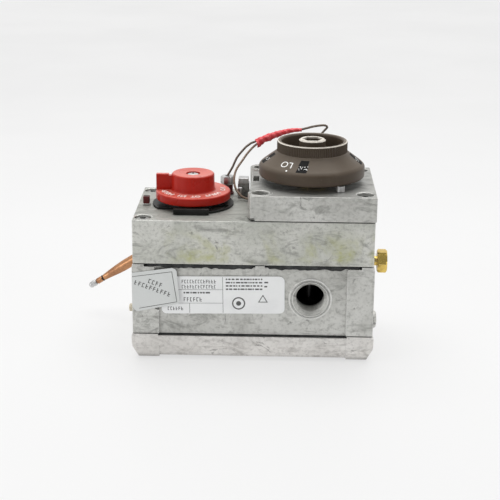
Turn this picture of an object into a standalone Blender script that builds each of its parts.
"""Combination gas valve with a push-and-turn gas cock and a remote-bulb thermostat.

Standalone Blender 4.5 script.  Sizes and places are in millimetres, and MM turns them into metres
as each object is made.  X runs to the right along the front face, Y runs to the rear and Z is up.
The origin is on the underside of the bottom cover, in the middle of the valve.
"""
from math import cos, pi, radians, sin, tau

import bmesh
import bpy
from mathutils import Vector
from mathutils.geometry import interpolate_bezier

MM = 0.001
GAP = 0.3                      # clearance between pieces that touch
MERGE = 0.00001                # metres

# Castings: half widths and depths, and the levels where the pieces meet
BODY_X = 73.0
BODY_Y = 38.0
UPPER_X = 72.3
COVER_X = 73.7
COVER_Y = 38.6
COVER_TOP = 15.0
FLANGE_BOTTOM = 9.3
COVER_SLANT = 4.4
SHEET_BOTTOM = COVER_TOP + GAP
SHEET_TOP = SHEET_BOTTOM + 0.6
LOWER_BOTTOM = SHEET_TOP + GAP
LOWER_TOP = 59.0
GASKET_BOTTOM = LOWER_TOP + GAP
GASKET_TOP = GASKET_BOTTOM + 1.2
UPPER_BOTTOM = GASKET_TOP + GAP
DECK = 88.0
HOUSING_BOTTOM = DECK + GAP
HOUSING_TOP = 103.6
HOUSING_LEFT = -2.2
HOUSING_RIGHT = 72.9
HOUSING_REAR = 37.0

# Axes of the gas cock (left) and of the thermostat and regulator (right)
COCK_X = -38.2
DIAL_X = 34.7

# Front recess, ports and side fittings
RECESS_LEFT = -56.9
RECESS_RIGHT = 56.0
RECESS_Y = -36.4
TERMINAL = (-17.9, 25.0)
PORT_Z = 39.5
PORT_RADIUS = 8.7
PORT_CHAMFER = 2.2
PORT_RING = 12.9
RING_HEIGHT = 0.5
PILOT_Z = 52.7

# Cored pockets that lighten the castings: (low corner, high corner)
LOWER_POCKETS = (
    ((-19, -31.5, 10), (11, 33, 52)),
    ((-69, -20, 10), (-57, 20, 52)),
    ((57.5, -20, 10), (69, 20, 44)),
)
UPPER_POCKETS = (
    ((-21, 7, 50), (9, 25, 84)),
    ((-21, -25, 50), (9, -7, 84)),
    ((-69, -24, 50), (-54, 24, 84)),
)
COVER_POCKET = ((-55, -33, 4), (8, 33, 30))

# Screws: (x, y) places
DECK_SCREWS = ((-66.3, -30.5), (-66.3, 31.0))
HOUSING_SCREWS = ((3.7, -30.0), (66.0, -30.0), (3.7, 30.0), (66.0, 30.0))
COVER_SCREWS = ((-62.5, -28.0), (62.5, -28.0), (-62.5, 28.0), (62.5, 28.0))
SCREW_HOLE = 2.8
SCREW_END = 46.0
HEAD_HOLE = 5.15
CORNER_BOSS = 7.3
CORNER_BOSSES = ((-30.0, 0.3), (30.0, 1.2))    # y place and rise above the housing's top

# Gas cock and reset
KNOB_BOTTOM = 92.1
FLANGE_TOP = 97.4
HUB_TOP = 108.0
FLANGE_RADIUS = 23.0
HUB_RADIUS = 13.1
TAB_HALF = 1.7
RING_TOP = 89.2
RING_RADIUS = 25.0
PLUG_BOTTOM = 68.3
PLUG_SHOULDER = 80.0
SHAFT_TOP = 96.0
SHAFT_RADIUS = 6.0

# Thermostat dial
DIAL_BOTTOM = 107.9
SKIRT_TOP = 114.5
RIM_BOTTOM = 123.1
RIM_TOP = 129.4
DIAL_HUB_TOP = 130.2
SKIRT_RADIUS = 32.3
RIM_RADIUS = 21.5
DIAL_HUB_RADIUS = 8.1
HEX_RADIUS = 5.3

# Thermostat mechanism and regulator
CHAMBER_RADIUS = 22.0
CHAMBER_TOP = 84.0
SEAT_TOP = 58.7
SEAT_BOTTOM = 50.3
VALVE_TRAVEL = 1.5
LEVER_X = 19.0
LEVER_Z = 77.0
DIAPHRAGM_RADIUS = 20.0

# Leads, sleeve and bulb
LEAD_RADIUS = 0.7
SLEEVE_RADIUS = 2.85
BULB_Y = 42.0
BULB_END = Vector((-42.0, BULB_Y, 61.8))
BULB_DIRECTION = Vector((-0.843, 0.0, -0.537)).normalized()

AXIS_TURNS = {
    "Z": (0.0, 0.0, 0.0),
    "-Z": (pi, 0.0, 0.0),
    "X": (0.0, pi / 2, 0.0),
    "-X": (0.0, -pi / 2, 0.0),
    "Y": (-pi / 2, 0.0, 0.0),
    "-Y": (pi / 2, 0.0, 0.0),
}

# name: colour, roughness, metallic
MATERIALS = {
    "cast_aluminium": ((0.42, 0.42, 0.40, 1.0), 0.45, 0.9),
    "cover_aluminium": ((0.50, 0.49, 0.47, 1.0), 0.50, 0.9),
    "gasket_rubber": ((0.03, 0.03, 0.03, 1.0), 0.80, 0.0),
    "red_plastic": ((0.60, 0.02, 0.015, 1.0), 0.30, 0.0),
    "brown_plastic": ((0.11, 0.08, 0.06, 1.0), 0.45, 0.0),
    "black_plastic": ((0.02, 0.02, 0.02, 1.0), 0.50, 0.0),
    "maroon_plastic": ((0.12, 0.02, 0.02, 1.0), 0.45, 0.0),
    "cream_plastic": ((0.65, 0.58, 0.45, 1.0), 0.50, 0.0),
    "steel": ((0.55, 0.55, 0.56, 1.0), 0.35, 1.0),
    "spring_steel": ((0.45, 0.45, 0.46, 1.0), 0.35, 1.0),
    "brass": ((0.75, 0.52, 0.15, 1.0), 0.30, 1.0),
    "copper": ((0.62, 0.27, 0.12, 1.0), 0.35, 1.0),
    "solder": ((0.60, 0.60, 0.60, 1.0), 0.40, 1.0),
    "lead_brown": ((0.12, 0.07, 0.05, 1.0), 0.60, 0.0),
    "sleeve_red": ((0.60, 0.05, 0.06, 1.0), 0.45, 0.0),
    "label_white": ((0.78, 0.78, 0.78, 1.0), 0.50, 0.0),
    "seal_silver": ((0.58, 0.59, 0.58, 1.0), 0.40, 0.3),
}


# ---------------------------------------------------------------- scene and helpers

def clear_scene():
    for obj in list(bpy.data.objects):
        bpy.data.objects.remove(obj, do_unlink=True)
    for collection in list(bpy.data.collections):
        bpy.data.collections.remove(collection)


def new_collection(name):
    collection = bpy.data.collections.new(name)
    bpy.context.scene.collection.children.link(collection)
    return collection


def make_material(name):
    colour, roughness, metallic = MATERIALS[name]
    material = bpy.data.materials.new(name)
    material.use_nodes = True
    shader = material.node_tree.nodes["Principled BSDF"]
    shader.inputs["Base Color"].default_value = colour
    shader.inputs["Roughness"].default_value = roughness
    shader.inputs["Metallic"].default_value = metallic
    material.diffuse_color = colour
    return material


def place_object(name, data, place=(0.0, 0.0, 0.0), axis="Z"):
    """Link an object whose own Z axis points along the named world axis."""
    obj = bpy.data.objects.new(name, data)
    PARTS.objects.link(obj)
    obj.location = Vector(place) * MM
    obj.rotation_euler = AXIS_TURNS[axis]
    return obj


def mesh_from(name, bm):
    mesh = bpy.data.meshes.new(name)
    bm.to_mesh(mesh)
    bm.free()
    return mesh


def finish_as(obj, material):
    """Give a part its material and smooth its round faces."""
    obj.data.materials.append(make_material(material))
    if obj.type == "MESH":
        obj.data.shade_smooth()
        obj.data.set_sharp_from_angle(angle=radians(35))
    return obj


def bevel_edges(obj, width, segments=2):
    modifier = obj.modifiers.new("rounded_edges", "BEVEL")
    modifier.width = width * MM
    modifier.segments = segments
    modifier.limit_method = "ANGLE"
    modifier.angle_limit = radians(50)
    return obj


def block(name, low, high, bevel=0.0, segments=2):
    low = Vector(low)
    high = Vector(high)
    bm = bmesh.new()
    bmesh.ops.create_cube(bm, size=1.0)
    bmesh.ops.scale(bm, vec=(high - low) * MM, verts=bm.verts)
    obj = place_object(name, mesh_from(name, bm), (low + high) / 2)
    if bevel:
        bevel_edges(obj, bevel, segments)
    return obj


def rod(name, start, axis, radius, length, sides=20, end_radius=None):
    """A cylinder or cone that runs from start along an axis."""
    if end_radius is None:
        end_radius = radius
    bm = bmesh.new()
    bmesh.ops.create_cone(bm, cap_ends=True, segments=sides, radius1=radius * MM,
                          radius2=end_radius * MM, depth=length * MM)
    bmesh.ops.translate(bm, vec=(0.0, 0.0, length * MM / 2), verts=bm.verts)
    return place_object(name, mesh_from(name, bm), start, axis)


def turned(name, profile, place, axis="Z", steps=24, closed=False):
    """Sweep (radius, height) points round the axis; the outer side runs top to bottom."""
    bm = bmesh.new()
    verts = [bm.verts.new((radius * MM, 0.0, height * MM)) for radius, height in profile]
    for first, second in zip(verts, verts[1:]):
        bm.edges.new((first, second))
    if closed:
        bm.edges.new((verts[-1], verts[0]))
    obj = place_object(name, mesh_from(name, bm), place, axis)
    modifier = obj.modifiers.new("turn", "SCREW")
    modifier.steps = steps
    modifier.render_steps = steps
    modifier.use_merge_vertices = True
    modifier.merge_threshold = MERGE
    modifier.use_smooth_shade = False
    return obj


def combine(target, operation, others):
    for other in others:
        modifier = target.modifiers.new(operation.lower(), "BOOLEAN")
        modifier.operation = operation
        modifier.object = other
        if CUTTERS not in other.users_collection:
            CUTTERS.objects.link(other)
            PARTS.objects.unlink(other)
        other.hide_render = True
        other.display_type = "WIRE"
    return target


def cut(target, *cutters):
    return combine(target, "DIFFERENCE", cutters)


def join(target, *pieces):
    return combine(target, "UNION", pieces)


def curve_object(name, route, radius, material, resolution=2):
    """A round wire along a route of (point, radius factor) pairs."""
    curve = bpy.data.curves.new(name, "CURVE")
    curve.dimensions = "3D"
    curve.bevel_depth = radius * MM
    curve.bevel_resolution = resolution
    curve.use_fill_caps = True
    spline = curve.splines.new("POLY")
    spline.points.add(len(route) - 1)
    for point, (place, factor) in zip(spline.points, route):
        point.co = (*(Vector(place) * MM), 1.0)
        point.radius = factor
    obj = place_object(name, curve)
    curve.materials.append(make_material(material))
    return obj


def smooth_route(points, steps=4):
    """Points on a smooth curve through the given ones."""
    points = [Vector(point) for point in points]
    route = [points[0]]
    for index in range(len(points) - 1):
        start, end = points[index], points[index + 1]
        before = points[max(index - 1, 0)]
        after = points[min(index + 2, len(points) - 1)]
        handle_out = start + (end - before) / 6
        handle_in = end - (after - start) / 6
        route += interpolate_bezier(start, handle_out, handle_in, end, steps + 1)[1:]
    return route


def coil(name, centre, low, high, radius, wire, turns, steps=8):
    """A compression spring standing on its vertical axis."""
    count = int(turns * steps)
    points = []
    for index in range(count + 1):
        angle = tau * index / steps
        height = low + (high - low) * index / count
        points.append(((centre[0] + radius * cos(angle), centre[1] + radius * sin(angle), height), 1.0))
    return curve_object(name, points, wire / 2, "spring_steel", resolution=1)


def joint_empty(name, place):
    empty = bpy.data.objects.new(name, None)
    empty.empty_display_size = 0.01
    empty.location = Vector(place) * MM
    PARTS.objects.link(empty)
    return empty


def hang_on(pivot, *pieces):
    """Parent pieces to a joint's empty without moving them."""
    for piece in pieces:
        piece.parent = pivot
        piece.location -= pivot.location


def top_screw(name, place, head_bottom):
    """A long cap screw down through the castings, with a slotted head."""
    x, y = place
    profile = [(0, head_bottom + 3.2), (4.2, head_bottom + 3.2), (4.7, head_bottom + 2.7),
               (4.7, head_bottom), (2.5, head_bottom), (2.5, SCREW_END + 0.8), (1.9, SCREW_END),
               (0, SCREW_END)]
    screw = turned(name, profile, (x, y, 0), steps=12)
    slot = block(name + "_slot", (x - 6, y - 0.6, head_bottom + 2.0), (x + 6, y + 0.6, head_bottom + 5))
    return finish_as(cut(screw, slot), "steel")


# ---------------------------------------------------------------- shared cutters

def screw_cutters():
    """Clearance holes that run through every casting the long screws cross."""
    holes = {}
    for x, y in DECK_SCREWS + HOUSING_SCREWS:
        holes[(x, y)] = rod(f"hole_{x:.0f}_{y:.0f}", (x, y, SCREW_END - 1), "Z", SCREW_HOLE, 65, 12)
    return holes


def cover_cutters():
    return [rod(f"cover_hole_{x:.0f}_{y:.0f}", (x, y, -1), "Z", 2.5, 30, 12) for x, y in COVER_SCREWS]


# ---------------------------------------------------------------- castings

def bottom_cover(cover_holes):
    bm = bmesh.new()
    bmesh.ops.create_cube(bm, size=1.0)
    height = COVER_TOP - FLANGE_BOTTOM
    bmesh.ops.scale(bm, vec=Vector((2 * COVER_X, 2 * COVER_Y, height)) * MM, verts=bm.verts)
    bmesh.ops.translate(bm, vec=(0, 0, (FLANGE_BOTTOM + height / 2) * MM), verts=bm.verts)
    bottom = min(bm.faces, key=lambda face: face.calc_center_median().z)
    grown = bmesh.ops.extrude_face_region(bm, geom=[bottom])["geom"]
    bmesh.ops.delete(bm, geom=[bottom], context="FACES_ONLY")
    foot = [item for item in grown if isinstance(item, bmesh.types.BMVert)]
    narrow_x = (COVER_X - COVER_SLANT) / COVER_X
    narrow_y = (COVER_Y - COVER_SLANT) / COVER_Y
    for vert in foot:
        vert.co.x *= narrow_x
        vert.co.y *= narrow_y
        vert.co.z = 0.0
    bmesh.ops.recalc_face_normals(bm, faces=bm.faces)
    cover = place_object("bottom_cover", mesh_from("bottom_cover", bm))
    bevel_edges(cover, 0.6, 1)
    between_pads = [
        block("pad_gap_x", (-57.2, -50, -2), (57.2, 50, 1.1)),
        block("pad_gap_y", (-80, -17, -2), (80, 17, 1.1)),
    ]
    boss = rod("base_boss", (0, 0, 0), "Z", 13, 4, 24)
    tower = rod("regulator_tower", (DIAL_X, 0, 0.3), "Z", 9.5, 5, 24)
    chamber = rod("spring_chamber", (DIAL_X, 0, 6.6), "Z", DIAPHRAGM_RADIUS, 12, 24)
    cap_bore = rod("cap_bore", (DIAL_X, 0, -2), "Z", 6.5, 12, 24)
    head_holes = [rod(f"cover_head_{x:.0f}_{y:.0f}", (x, y, -1), "Z", 4.8, 6, 12) for x, y in COVER_SCREWS]
    cut(cover, *between_pads)
    pocket = block("cover_pocket", *COVER_POCKET)
    join(cover, boss, tower)
    cut(cover, pocket, chamber, cap_bore, *head_holes, *cover_holes)
    return finish_as(cover, "cover_aluminium")


def lower_body(holes, cover_holes):
    body = block("lower_body", (-BODY_X, -BODY_Y, LOWER_BOTTOM), (BODY_X, BODY_Y, LOWER_TOP), 0.8, 1)
    recess = block("front_recess", (RECESS_LEFT, -50, 0), (RECESS_RIGHT, RECESS_Y, 70))
    plate = block("cast_plate", (-24.6, RECESS_Y - 0.5, 54.5), (-6.6, RECESS_Y + 1, LOWER_TOP - 0.4))
    outlet = rod("outlet_bore", (DIAL_X, -45, PORT_Z), "Y", PORT_RADIUS, 42, 24)
    outlet_ring = rod("outlet_ring", (DIAL_X, RECESS_Y - RING_HEIGHT, PORT_Z), "Y", PORT_RING, 2, 32)
    chamfer = rod("outlet_chamfer", (DIAL_X, RECESS_Y - RING_HEIGHT - 0.4, PORT_Z), "Y",
                  PORT_RADIUS + PORT_CHAMFER + 0.4, PORT_CHAMFER + 0.4, 24, PORT_RADIUS)
    inlet = rod("inlet_bore", (COCK_X, 45, PORT_Z), "-Y", PORT_RADIUS, 36, 24)
    inlet_ring = rod("inlet_ring", (COCK_X, BODY_Y + RING_HEIGHT, PORT_Z), "-Y", PORT_RING, 2, 32)
    inlet_chamfer = rod("inlet_chamfer", (COCK_X, BODY_Y + RING_HEIGHT + 0.4, PORT_Z), "-Y",
                        PORT_RADIUS + PORT_CHAMFER + 0.4, PORT_CHAMFER + 0.4, 24, PORT_RADIUS)
    left_well = rod("left_well", (COCK_X, 0, 24), "Z", 15, 40, 24)
    right_well = rod("right_well", (DIAL_X, 0, 29), "Z", 11.5, 40, 24)
    seat_bore = rod("seat_bore", (DIAL_X, 0, SEAT_BOTTOM - GAP), "Z", 13.5, 20, 24)
    stem_guide = rod("stem_guide", (DIAL_X, 0, 20), "Z", 2.6, 12, 16)
    chamber = rod("diaphragm_chamber", (DIAL_X, 0, 10), "Z", DIAPHRAGM_RADIUS, 15, 24)
    pilot_bore = rod("pilot_bore", (60, 0, PILOT_Z), "X", 4.5, 20, 20)
    pilot_drill = rod("pilot_drill", (62, 0, PILOT_Z), "Z", 1.5, 10, 12)
    pockets = [block(f"core_pocket_{number}", low, high)
               for number, (low, high) in enumerate(LOWER_POCKETS, 1)]
    cut(body, recess)
    join(body, plate, outlet_ring, inlet_ring)
    cut(body, outlet, chamfer, inlet, inlet_chamfer, left_well, right_well, seat_bore, stem_guide,
        chamber, pilot_bore, pilot_drill, *pockets, *holes.values(), *cover_holes)
    return finish_as(body, "cast_aluminium")


def diaphragm_sheet(cover_holes):
    sheet = block("diaphragm_sheet", (-BODY_X + 0.4, -BODY_Y + 0.7, SHEET_BOTTOM),
                  (BODY_X - 0.4, BODY_Y - 0.7, SHEET_TOP))
    middle = rod("sheet_hole", (DIAL_X, 0, 10), "Z", 15.5, 10, 24)
    return finish_as(cut(sheet, middle, *cover_holes), "gasket_rubber")


def body_gasket(holes):
    gasket = block("body_gasket", (-UPPER_X + 0.5, -BODY_Y + 0.9, GASKET_BOTTOM),
                   (UPPER_X - 0.5, BODY_Y - 0.9, GASKET_TOP))
    left = rod("gasket_left", (COCK_X, 0, 55), "Z", 15, 10, 24)
    right = rod("gasket_right", (DIAL_X, 0, 55), "Z", CHAMBER_RADIUS, 10, 24)
    pilot = rod("gasket_pilot", (62, 0, 55), "Z", 1.5, 10, 12)
    return finish_as(cut(gasket, left, right, pilot, *holes.values()), "gasket_rubber")


def upper_body(holes):
    body = block("upper_body", (-UPPER_X, -BODY_Y, UPPER_BOTTOM), (UPPER_X, BODY_Y, DECK), 0.9, 1)
    seat = rod("safety_seat", (COCK_X, 0, 50), "Z", 6.5, 30, 24)
    taper = rod("plug_taper", (COCK_X, 0, PLUG_BOTTOM - GAP), "Z", 11.0, PLUG_SHOULDER - PLUG_BOTTOM + 0.9,
                24, 12.0)
    spring_room = rod("spring_room", (COCK_X, 0, PLUG_SHOULDER + 0.5), "Z", 13.5, 20, 24)
    passage = rod("cross_passage", (COCK_X + 5, 0, 74), "X", 3.6, 60, 16)
    chamber = rod("valve_chamber", (DIAL_X, 0, 50), "Z", CHAMBER_RADIUS, CHAMBER_TOP - 50, 24)
    roof = rod("chamber_roof", (DIAL_X, 0, 80), "Z", 14, 20, 24)
    heads = [rod(f"deck_head_{x:.0f}_{y:.0f}", (x, y, DECK - 4), "Z", HEAD_HOLE, 10, 16)
             for x, y in DECK_SCREWS]
    pockets = [block(f"top_pocket_{number}", low, high)
               for number, (low, high) in enumerate(UPPER_POCKETS, 1)]
    cut(body, seat, taper, spring_room, passage, chamber, roof, *pockets, *heads, *holes.values())
    return finish_as(body, "cast_aluminium")


def thermostat_housing(holes):
    housing = block("thermostat_housing", (HOUSING_LEFT, -BODY_Y, HOUSING_BOTTOM),
                    (HOUSING_RIGHT, HOUSING_REAR, HOUSING_TOP), 0.9, 1)
    room = rod("bellows_room", (DIAL_X, 0, 80), "Z", 20, 18.6, 24)
    bushing_hole = rod("bushing_hole", (DIAL_X, 0, 90), "Z", 7.3, 20, 24)
    tube_hole = rod("capillary_hole", (DIAL_X + 8, 10, 92), "Y", 1.5, 40, 12)
    bosses = [rod(f"corner_boss_{y:.0f}", (HOUSING_SCREWS[0][0], y, HOUSING_BOTTOM), "Z", CORNER_BOSS,
                  HOUSING_TOP + rise - HOUSING_BOTTOM, 32) for y, rise in CORNER_BOSSES]
    pocket = block("side_pocket", (HOUSING_LEFT + 0.9, -2, HOUSING_TOP - 7), (2.6, 11, HOUSING_TOP + 7))
    notch = block("corner_notch", (HOUSING_LEFT - 2, -BODY_Y - 2, 80), (0.7, -BODY_Y + 3, 90.3))
    heads = [rod(f"housing_head_{x:.0f}_{y:.0f}", (x, y, HOUSING_TOP - 4.6), "Z", HEAD_HOLE, 10, 16)
             for x, y in HOUSING_SCREWS]
    join(housing, *bosses)
    cut(housing, room, bushing_hole, tube_hole, pocket, notch, *heads)
    cut(housing, *[holes[place] for place in HOUSING_SCREWS])
    return finish_as(housing, "cast_aluminium")


def casting_screws():
    for number, place in enumerate(DECK_SCREWS, 1):
        top_screw(f"deck_screw_{number}", place, DECK - 3.7)
    for number, place in enumerate(HOUSING_SCREWS, 1):
        top_screw(f"housing_screw_{number}", place, HOUSING_TOP - 4.3)
    for number, (x, y) in enumerate(COVER_SCREWS, 1):
        profile = [(0, 27.5), (1.6, 27.5), (2.2, 26.8), (2.2, 4.7), (4.3, 4.7), (4.3, 1.9), (3.8, 1.4),
                   (0, 1.4)]
        screw = turned(f"cover_screw_{number}", profile, (x, y, 0), steps=12)
        slot = block(f"cover_slot_{number}", (x - 6, y - 0.6, 0), (x + 6, y + 0.6, 2.6))
        finish_as(cut(screw, slot), "steel")


# ---------------------------------------------------------------- gas cock, reset and safety valve

def gas_cock():
    pivot = joint_empty("gas_cock_axis", (COCK_X, 0, DECK))
    profile = [(0, SHAFT_TOP), (SHAFT_RADIUS, SHAFT_TOP), (SHAFT_RADIUS, PLUG_SHOULDER),
               (11.6, PLUG_SHOULDER), (10.65, PLUG_BOTTOM), (0, PLUG_BOTTOM)]
    plug = turned("cock_plug", profile, (COCK_X, 0, 0))
    stem_bore = rod("stem_bore", (COCK_X, 0, 60), "Z", 2.4, 50, 16)
    gas_bore = rod("gas_bore", (COCK_X, 0, 60), "Z", 4.5, 18, 20)
    side_port = rod("side_port", (COCK_X, 0, 74), "X", 3.4, 20, 16)
    spring_bore = rod("spring_bore", (COCK_X, 0, 90), "Z", 4.8, 20, 20)
    flat = block("shaft_flat", (COCK_X - 10, -10, 89.6), (COCK_X + 10, -4.7, 110))
    cut(plug, stem_bore, gas_bore, side_port, spring_bore, flat)
    finish_as(plug, "brass")
    coil("cock_spring", (COCK_X, 0), PLUG_SHOULDER + 1.1, DECK - 0.6, 8.6, 1.4, 3)
    hang_on(pivot, plug)
    return pivot


def knob_and_reset(pivot):
    profile = [(0, HUB_TOP), (HUB_RADIUS - 0.5, HUB_TOP), (HUB_RADIUS, HUB_TOP - 0.5),
               (HUB_RADIUS, FLANGE_TOP), (FLANGE_RADIUS - 0.5, FLANGE_TOP),
               (FLANGE_RADIUS, FLANGE_TOP - 0.5), (FLANGE_RADIUS, KNOB_BOTTOM), (21, KNOB_BOTTOM),
               (21, KNOB_BOTTOM + 2), (9.5, KNOB_BOTTOM + 2), (9.5, KNOB_BOTTOM), (0, KNOB_BOTTOM)]
    knob = turned("gas_knob", profile, (COCK_X, 0, 0), steps=36)
    tab = block("knob_tab", (COCK_X - FLANGE_RADIUS + 0.3, -TAB_HALF, KNOB_BOTTOM + 2.2),
                (COCK_X - 8, TAB_HALF, HUB_TOP - 0.9), 0.4, 1)
    tab_notch = block("tab_notch", (COCK_X - HUB_RADIUS - 1.9, -9, HUB_TOP - 1.8),
                      (COCK_X - HUB_RADIUS - 0.1, 9, HUB_TOP + 4))
    socket = rod("knob_socket", (COCK_X, 0, 80), "Z", 6.4, 24, 24)
    socket_flat = block("socket_flat", (COCK_X - 10, -12, 70), (COCK_X + 10, -5.0, 120))
    cut(socket, socket_flat)
    screw_hole = rod("knob_screw_hole", (COCK_X, 0, 100), "Z", 1.9, 20, 16)
    head_hole = rod("knob_head_hole", (COCK_X, 0, HUB_TOP - 2.0), "Z", 4.5, 5, 24)
    join(knob, cut(tab, tab_notch))
    cut(knob, socket, screw_hole, head_hole)
    finish_as(knob, "red_plastic")

    screw_profile = [(0, 107.6), (3.4, 107.6), (4.1, 106.9), (4.1, 106.3), (1.5, 106.3), (1.5, 101.2),
                     (0, 101.2)]
    screw = turned("knob_screw", screw_profile, (COCK_X, 0, 0), steps=20)
    slot = block("knob_screw_slot", (COCK_X - 6, -0.5, 106.9), (COCK_X + 6, 0.5, 109))
    finish_as(cut(screw, slot), "steel")

    stem_profile = [(1.8, 103.6), (5, 103.6), (5, 101.0), (2, 101.0), (2, UPPER_BOTTOM), (0, UPPER_BOTTOM),
                    (0, 100.6), (1.8, 100.6)]
    stem = turned("reset_stem", stem_profile, (COCK_X, 0, 0), steps=16, closed=True)
    stem_flat = block("stem_flat", (COCK_X - 10, -12, 95), (COCK_X + 10, -4.6, 120))
    finish_as(cut(stem, stem_flat), "steel")
    coil("reset_spring", (COCK_X, 0), 90.8, 100.2, 3.6, 0.9, 5, steps=8)
    hang_on(pivot, knob, screw, stem)


def index_ring():
    profile = [(7.5, RING_TOP), (RING_RADIUS, RING_TOP), (RING_RADIUS, HOUSING_BOTTOM),
               (7.5, HOUSING_BOTTOM)]
    ring = turned("knob_index_ring", profile, (COCK_X, 0, 0), steps=32, closed=True)
    lug = block("ring_lug", (COCK_X - 10.5, -26, HOUSING_BOTTOM), (COCK_X + 11, -23.6, 91.6), 0.3, 1)
    window = block("ring_window", (COCK_X + 11.6, -23, 80), (COCK_X + 22.5, -7, 100))
    combine(window, "INTERSECT", [rod("window_reach", (COCK_X, 0, 85), "Z", RING_RADIUS - 1.5, 10, 32)])
    shoulder = block("ring_shoulder", (COCK_X - 30, -40, 80), (COCK_X - 10.5, -14.2, 100))
    cut(ring, shoulder, window)
    finish_as(join(ring, lug), "black_plastic")
    post = block("index_post", (-69.2, -5.4, HOUSING_BOTTOM), (-64.6, -0.8, 93.4), 0.3, 1)
    finish_as(post, "maroon_plastic")


def safety_valve():
    disc_profile = [(0, GASKET_TOP), (8.9, GASKET_TOP), (9.4, GASKET_TOP - 0.6), (9.4, 57.6), (0, 57.6)]
    disc = turned("safety_valve_disc", disc_profile, (COCK_X, 0, 0), steps=24)
    finish_as(disc, "gasket_rubber")
    stem_profile = [(0, 57.3), (4, 57.3), (4, 56.5), (1.4, 56.5), (1.4, 49), (6, 49), (6, 47), (0, 47)]
    finish_as(turned("armature", stem_profile, (COCK_X, 0, 0), steps=20), "steel")
    case_profile = [(0, 44.2), (6.9, 44.2), (7.4, 43.7), (7.4, 27), (10.4, 27), (10.4, 24.3), (0, 24.3)]
    finish_as(turned("magnet_unit", case_profile, (COCK_X, 0, 0), steps=24), "steel")
    coil("safety_return_spring", (COCK_X, 0), 27.9, 56.7, 8.6, 1.0, 6)


# ---------------------------------------------------------------- thermostat

def thermostat_dial():
    pivot = joint_empty("thermostat_axis", (DIAL_X, 0, HOUSING_TOP))
    inner = RIM_RADIUS - 2.9
    profile = [(0, DIAL_HUB_TOP), (DIAL_HUB_RADIUS, DIAL_HUB_TOP), (DIAL_HUB_RADIUS, 119.5),
               (inner, 119.5), (inner, RIM_TOP), (RIM_RADIUS, RIM_TOP), (RIM_RADIUS, RIM_BOTTOM),
               (RIM_RADIUS + 0.8, RIM_BOTTOM - 0.6), (SKIRT_RADIUS, SKIRT_TOP), (SKIRT_RADIUS, DIAL_BOTTOM),
               (SKIRT_RADIUS - 2.4, DIAL_BOTTOM), (SKIRT_RADIUS - 2.4, 113.2), (19.5, 116.5),
               (DIAL_HUB_RADIUS, 116.5), (DIAL_HUB_RADIUS, 109.2), (0, 109.2)]
    dial = turned("thermostat_dial", profile, (DIAL_X, 0, 0), steps=40)
    hexagon = rod("dial_hexagon", (DIAL_X, 0, 100), "Z", HEX_RADIUS + 0.35, 40, 6)
    finish_as(cut(dial, hexagon), "brown_plastic")

    screw = rod("adjusting_screw", (DIAL_X, 0, 107), "Z", HEX_RADIUS, 17, 6)
    shank = rod("screw_shank", (DIAL_X, 0, 97.6), "Z", 4.5, 12, 20)
    finish_as(join(screw, shank), "steel")
    hang_on(pivot, dial, screw)

    bushing_profile = [(4.9, 106), (6.6, 106), (6.6, 105.2), (9.5, 105.2), (9.5, HOUSING_TOP + GAP),
                       (7.0, HOUSING_TOP + GAP), (7.0, 98.9), (4.9, 98.9)]
    finish_as(turned("dial_bushing", bushing_profile, (DIAL_X, 0, 0), steps=24, closed=True), "brass")
    post = rod("dial_stop_post", (51.5, -24.5, HOUSING_TOP + GAP), "Z", 2.6, 3.4, 20)
    finish_as(post, "steel")


def thermostat_mechanism():
    carrier = turned("element_carrier", [(0, 97.2), (8, 97.2), (8, 95.6), (0, 95.6)], (DIAL_X, 0, 0), steps=20)
    finish_as(carrier, "brass")
    folds = [(0, 94.4), (9, 94.4)]
    for fold in range(4):
        top = 94.4 - 2.3 * fold
        folds += [(12, top - 0.9), (12, top - 1.4), (9, top - 2.3)]
    folds += [(0, 85.2)]
    finish_as(turned("bellows", folds, (DIAL_X, 0, 0), steps=16), "brass")
    pin = turned("push_pin", [(0, 84.9), (3.5, 84.9), (3.5, 83.9), (1.8, 83.9), (1.8, 78.5), (0, 78.5)],
                 (DIAL_X, 0, 0), steps=16)
    finish_as(pin, "steel")

    pivot = joint_empty("lever_axis", (LEVER_X, 0, LEVER_Z))
    lever = block("snap_lever", (LEVER_X, -4, LEVER_Z - 1), (52, 4, LEVER_Z + 1))
    boss = rod("lever_boss", (LEVER_X, -4, LEVER_Z), "Y", 3.2, 8, 20)
    pin_hole = rod("lever_pin_hole", (LEVER_X, -10, LEVER_Z), "Y", 1.8, 20, 16)
    join(lever, boss)
    finish_as(cut(lever, pin_hole), "steel")
    hang_on(pivot, lever)
    lever_pin = rod("lever_pin", (LEVER_X, -10.5, LEVER_Z), "Y", 1.5, 21, 16)
    finish_as(lever_pin, "steel")

    disc_profile = [(0, LEVER_Z - 1.6), (1.6, LEVER_Z - 1.6), (1.6, 63.4), (4, 62.5), (11.4, 62.5),
                    (11.4, SEAT_TOP + GAP + VALVE_TRAVEL), (0, SEAT_TOP + GAP + VALVE_TRAVEL)]
    finish_as(turned("main_valve_disc", disc_profile, (DIAL_X, 0, 0), steps=24), "gasket_rubber")
    coil("main_valve_spring", (DIAL_X, 0), 55.6, 59.8, 10.2, 0.9, 2.5)
    seat_profile = [(5, SEAT_TOP - 0.5), (5.5, SEAT_TOP), (6.5, SEAT_TOP), (7.5, 54.8), (13.2, 54.8),
                    (13.2, SEAT_BOTTOM), (5, SEAT_BOTTOM)]
    seat = turned("valve_seat", seat_profile, (DIAL_X, 0, 0), steps=24, closed=True)
    finish_as(seat, "brass")


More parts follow.
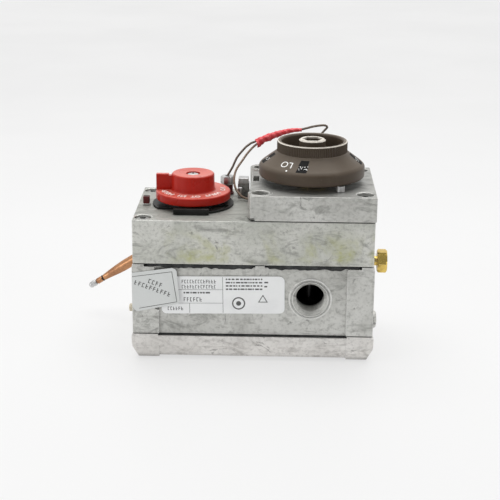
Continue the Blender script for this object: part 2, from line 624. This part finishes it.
def regulator():
    profile = [(0, 48.7), (6.6, 48.7), (7, 48.3), (7, 46.5), (2, 46), (2, 16.6), (15, 16.4), (15, 15.0),
               (0, 15.0)]
    finish_as(turned("regulator_plate", profile, (DIAL_X, 0, 0), steps=24), "steel")
    coil("regulator_spring", (DIAL_X, 0), 6.9, 14.2, 4.6, 1.0, 4)
    screw = turned("regulator_adjusting_screw", [(0, 6.1), (6.1, 6.1), (6.1, 3.3), (0, 3.3)],
                   (DIAL_X, 0, 0), steps=24)
    slot = block("adjusting_slot", (DIAL_X - 9, -0.8, 2), (DIAL_X + 9, 0.8, 4.3))
    finish_as(cut(screw, slot), "brass")
    cap = turned("regulator_cap", [(0, 3.0), (6.1, 3.0), (6.1, 0.9), (5.6, 0.4), (0, 0.4)], (DIAL_X, 0, 0),
                 steps=24)
    cap_slot = block("cap_slot", (DIAL_X - 5, -0.8, -2), (DIAL_X + 5, 0.8, 1.4))
    finish_as(cut(cap, cap_slot), "cover_aluminium")


# ---------------------------------------------------------------- fittings and labels

def pilot_outlet():
    profile = [(0, 19), (3.0, 19), (3.0, 12.6), (4.2, 12.3), (4.2, 0), (0, 0)]
    body = turned("pilot_fitting", profile, (61.3, 0, PILOT_Z), "X", steps=20)
    bore = rod("pilot_fitting_bore", (50, 0, PILOT_Z), "X", 1.6, 40, 12)
    finish_as(cut(body, bore), "brass")
    nut = rod("pilot_nut", (76.9, 0, PILOT_Z), "X", 7.6, 6.0, 6)
    bevel_edges(nut, 0.4, 1)
    hole = rod("pilot_nut_hole", (70, 0, PILOT_Z), "X", 3.4, 20, 20)
    finish_as(cut(nut, hole), "brass")


def side_plugs():
    plug_profile = [(0, 2.6), (4.4, 2.6), (5.4, 1.8), (5.6, 0), (0, 0)]
    plug = turned("side_plug", plug_profile, (BODY_X + GAP, -24, 22.6), "X", steps=24)
    finish_as(plug, "cast_aluminium")
    vent = turned("vent_plug", [(0, 3.4), (2.0, 3.4), (2.5, 2.9), (2.5, 0), (0, 0)],
                  (-BODY_X - GAP, -22, 27), "-X", steps=20)
    finish_as(vent, "cream_plastic")


def terminals():
    x, y = TERMINAL
    post = turned("thermocouple_terminal", [(0, 95.2), (3.3, 95.2), (3.3, HOUSING_BOTTOM), (0, HOUSING_BOTTOM)],
                  (x, y, 0), steps=24)
    nut = rod("terminal_nut", (x, y, 94.6), "Z", 4.6, 5.2, 6)
    bevel_edges(nut, 0.4, 1)
    finish_as(join(post, nut), "steel")
    block_low = (-11.6, 14, HOUSING_BOTTOM)
    terminal = block("terminal_block", block_low, (-4.0, 24, 100.2), 0.6, 1)
    step = block("terminal_step", (-12.5, 12.5, 93.5), (-8.2, 17.5, 110))
    finish_as(cut(terminal, step), "steel")


def flat_sheet(name, outline, thickness, place, material):
    """A thin upright sheet facing the front, cut to an outline of (x, z) points."""
    curve = bpy.data.curves.new(name, "CURVE")
    curve.dimensions = "2D"
    curve.fill_mode = "BOTH"
    curve.extrude = thickness * MM / 2
    spline = curve.splines.new("POLY")
    spline.points.add(len(outline) - 1)
    for point, (x, z) in zip(spline.points, outline):
        point.co = (x * MM, z * MM, 0.0, 1.0)
    spline.use_cyclic_u = True
    curve.materials.append(make_material(material))
    obj = place_object(name, curve, place, "Z")
    obj.rotation_euler = (pi / 2, 0.0, 0.0)
    return obj


def rounded_outline(half_width, half_height, radius, corner_steps=4):
    points = []
    for quarter in range(4):
        start = quarter * pi / 2
        centre_x = (half_width - radius) * (1 if quarter in (0, 3) else -1)
        centre_z = (half_height - radius) * (1 if quarter in (0, 1) else -1)
        for step in range(corner_steps + 1):
            angle = start + step * pi / 2 / corner_steps
            points.append((centre_x + radius * cos(angle), centre_z + radius * sin(angle)))
    return points


def labels():
    flat_sheet("rating_label", rounded_outline(37.5, 12.7, 3.2), 0.25,
               (-18.1, RECESS_Y - GAP - 0.13, 41.35), "label_white")
    seal = [(-13.6, -10.0), (-10.1, -12.8), (14.0, -7.4), (15.1, -6.2), (13.3, 13.8), (10.4, 15.1),
            (-13.6, 11.6)]
    flat_sheet("seal_label", seal, 0.25, (-59.2, -BODY_Y - GAP - 0.13, 43.5), "seal_silver")


# ---------------------------------------------------------------- leads, sleeve, capillary and bulb

def wires():
    lead_a = smooth_route([(*TERMINAL, 100.1), (-16.8, 25.0, 102.0), (-14.7, 25.5, 105.7),
                           (-12.4, 26.5, 110.9), (-8.8, 27.6, 115.5), (-5.2, 28.6, 118.9),
                           (-1.6, 29.4, 121.2)])
    curve_object("lead_a", [(point, 1.0) for point in lead_a], LEAD_RADIUS, "lead_brown")
    lead_b = smooth_route([(-4.0, 8.0, 89.3), (-7.0, 8.3, 90.0), (-9.9, 9.0, 92.0), (-12.5, 11.0, 95.6),
                           (-13.4, 13.0, 99.3), (-13.2, 15.5, 102.9), (-11.8, 18.5, 106.4),
                           (-8.6, 22.5, 110.4), (-6.6, 25.0, 113.0), (-3.7, 27.5, 116.2),
                           (-0.9, 29.0, 118.7)], 3)
    curve_object("lead_b", [(point, 1.0) for point in lead_b], LEAD_RADIUS, "lead_brown")
    sleeve = smooth_route([(0.6, 30, 120.1), (4.7, 30, 122.8), (9.5, 30, 124.7), (13.6, 30, 126.3),
                           (18.3, 30, 127.7), (23.0, 30, 128.7), (28.4, 30, 129.1)], 2)
    widths = [1.0 - 0.6 * (index / (len(sleeve) - 1)) ** 1.3 for index in range(len(sleeve))]
    curve_object("lead_sleeve", list(zip(sleeve, widths)), SLEEVE_RADIUS, "sleeve_red")
    rear = smooth_route([(28.8, 30, 129.3), (36.6, 30.0, 131.5), (41.2, 30.3, 132.0), (44.6, 31.2, 131.4),
                         (42.4, 33.2, 128.2), (36.0, 38.0, 119.0), (27.0, 43.0, 105.0), (10.0, 45.0, 90.0),
                         (-12.0, 44.6, 76.0), (-30.0, 43.4, 67.5), (-40.6, 42.8, 63.4)], 3)
    curve_object("rear_lead", [(point, 1.0) for point in rear], LEAD_RADIUS, "lead_brown")
    tube = smooth_route([(DIAL_X + 8, 13.5, 92), (DIAL_X + 8, 34, 92), (DIAL_X + 7, 41.4, 91.6),
                         (DIAL_X, 43.2, 88.0), (16.0, 42.6, 79.0), (-10.0, 41.2, 71.0), (-30.0, 41.0, 65.4),
                         (-40.6, 41.4, 61.6)], 3)
    curve_object("capillary_tube", [(point, 1.0) for point in tube], 0.8, "copper")


def bulb():
    profile = [(0, 0), (2.6, 0), (3.5, 1.2), (3.5, 54.0), (3.0, 60.0), (1.9, 72.0), (1.9, 75.6), (0, 75.6)]
    body = turned("sensing_bulb", [(radius, 75.6 - height) for radius, height in profile], BULB_END, steps=20)
    end = BULB_END + BULB_DIRECTION * 75.6
    body.location = end * MM
    turn = Vector((0, 0, 1)).rotation_difference(-BULB_DIRECTION).to_euler()
    body.rotation_euler = turn
    finish_as(body, "copper")
    tip_profile = [(0, 6.0), (2.1, 6.0), (2.4, 4.6), (2.2, 1.4), (1.2, 0.2), (0, 0)]
    tip = turned("bulb_tip", tip_profile, BULB_END + BULB_DIRECTION * 81.9, steps=16)
    tip.rotation_euler = turn
    finish_as(tip, "solder")


clear_scene()
PARTS = new_collection("gas_valve")
CUTTERS = new_collection("cutters")


def main():
    holes = screw_cutters()
    cover_holes = cover_cutters()
    bottom_cover(cover_holes)
    diaphragm_sheet(cover_holes)
    lower_body(holes, cover_holes)
    body_gasket(holes)
    upper_body(holes)
    thermostat_housing(holes)
    casting_screws()
    knob_and_reset(gas_cock())
    index_ring()
    safety_valve()
    thermostat_dial()
    thermostat_mechanism()
    regulator()
    pilot_outlet()
    side_plugs()
    terminals()
    labels()
    wires()
    bulb()


main()
